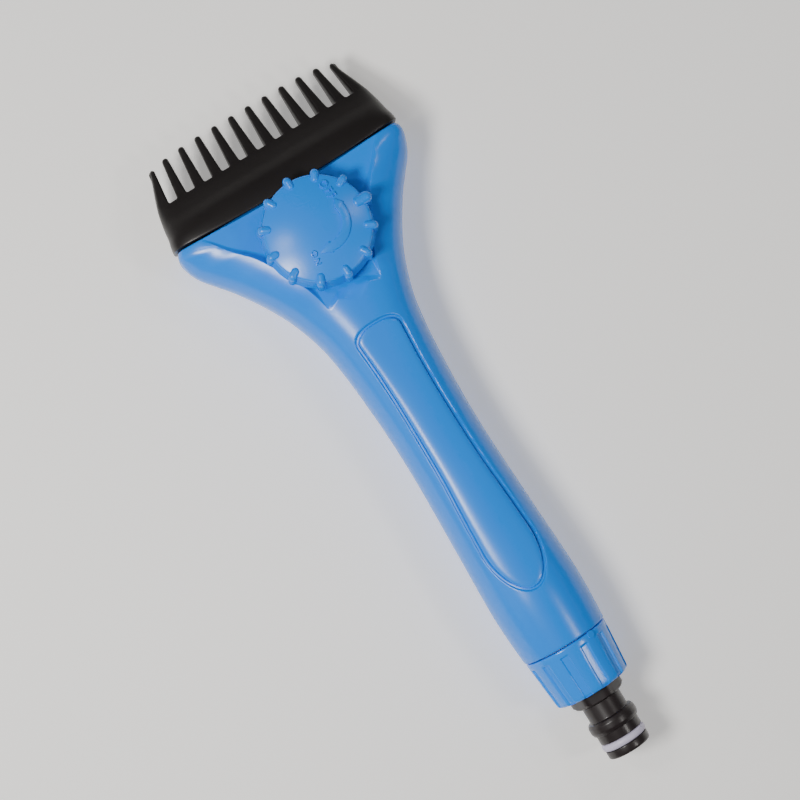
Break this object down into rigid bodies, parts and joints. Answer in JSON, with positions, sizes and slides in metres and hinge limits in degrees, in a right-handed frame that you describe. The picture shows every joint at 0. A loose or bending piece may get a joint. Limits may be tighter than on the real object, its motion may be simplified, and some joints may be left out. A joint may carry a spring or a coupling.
{
  "type": "handheld bath sprayer",
  "caption": "Handheld spray wand with a comb head, a quarter-turn valve knob on the head and a click-fit hose spigot held by a union nut.",
  "frame": {"origin": "centre of the hose spigot's end face, on the water inlet's axis", "axes": "+Y runs from the spigot up the handle to the comb; +Z comes out of the side that carries the knob; +X is to the right when the knob side is seen with the comb up"},
  "size_m": [0.0876, 0.2532, 0.0428],
  "materials": {
    "blue_body": "moulded, semi-gloss",
    "blue_grip": "moulded, satin",
    "blue_knob": "moulded, semi-gloss",
    "blue_nut": "moulded, high gloss",
    "black_plastic": "moulded, fine satin",
    "white_plastic": "natural acetal",
    "seat_plastic": "low-friction polymer",
    "grey_rubber": "silicone, satin",
    "black_rubber": "matte",
    "screw_steel": "plain",
    "stem_steel": "turned",
    "ball_steel": "polished"
  },
  "bodies": {
    "handle": {"front_shell": "blue_body", "rear_shell": "blue_body", "grip_inlay": "blue_grip", "comb_head": "black_plastic", "comb_gasket": "black_rubber", "spray_manifold": "white_plastic", "manifold_o_ring": "black_rubber", "valve_body": "white_plastic", "ball_seats": "seat_plastic", "threaded_neck": "white_plastic", "inlet_tube": "white_plastic", "tube_o_rings": "black_rubber", "shell_screws": "screw_steel"},
    "valve": {"knob": "blue_knob", "valve_stem": "stem_steel", "stem_o_rings": "black_rubber", "valve_ball": "ball_steel"},
    "spigot": {"hose_spigot": "black_plastic", "spigot_o_ring": "grey_rubber", "hose_washer": "black_rubber"},
    "nut": {"coupling_nut": "blue_nut"}
  },
  "joints": [
    {"name": "valve_turn", "type": "hinge", "parent": "handle", "child": "valve", "pos_m": [0, 0.201, 0], "axis": [0, 0.0872, 0.9962], "range_deg": [-90, 0]},
    {"name": "spigot_draw", "type": "slide", "parent": "handle", "child": "spigot", "axis": [0, -1, 0], "range_m": [0, 0.0082]},
    {"name": "nut_unscrew", "type": "hinge", "parent": "spigot", "child": "nut", "pos_m": [0, 0.033, 0], "axis": [0, -1, 0], "range_deg": [0, 1440]}
  ],
  "couplings": [
    {"joint": "spigot_draw", "follows": "nut_unscrew", "m_per_rad": 0.00031831}
  ]
}
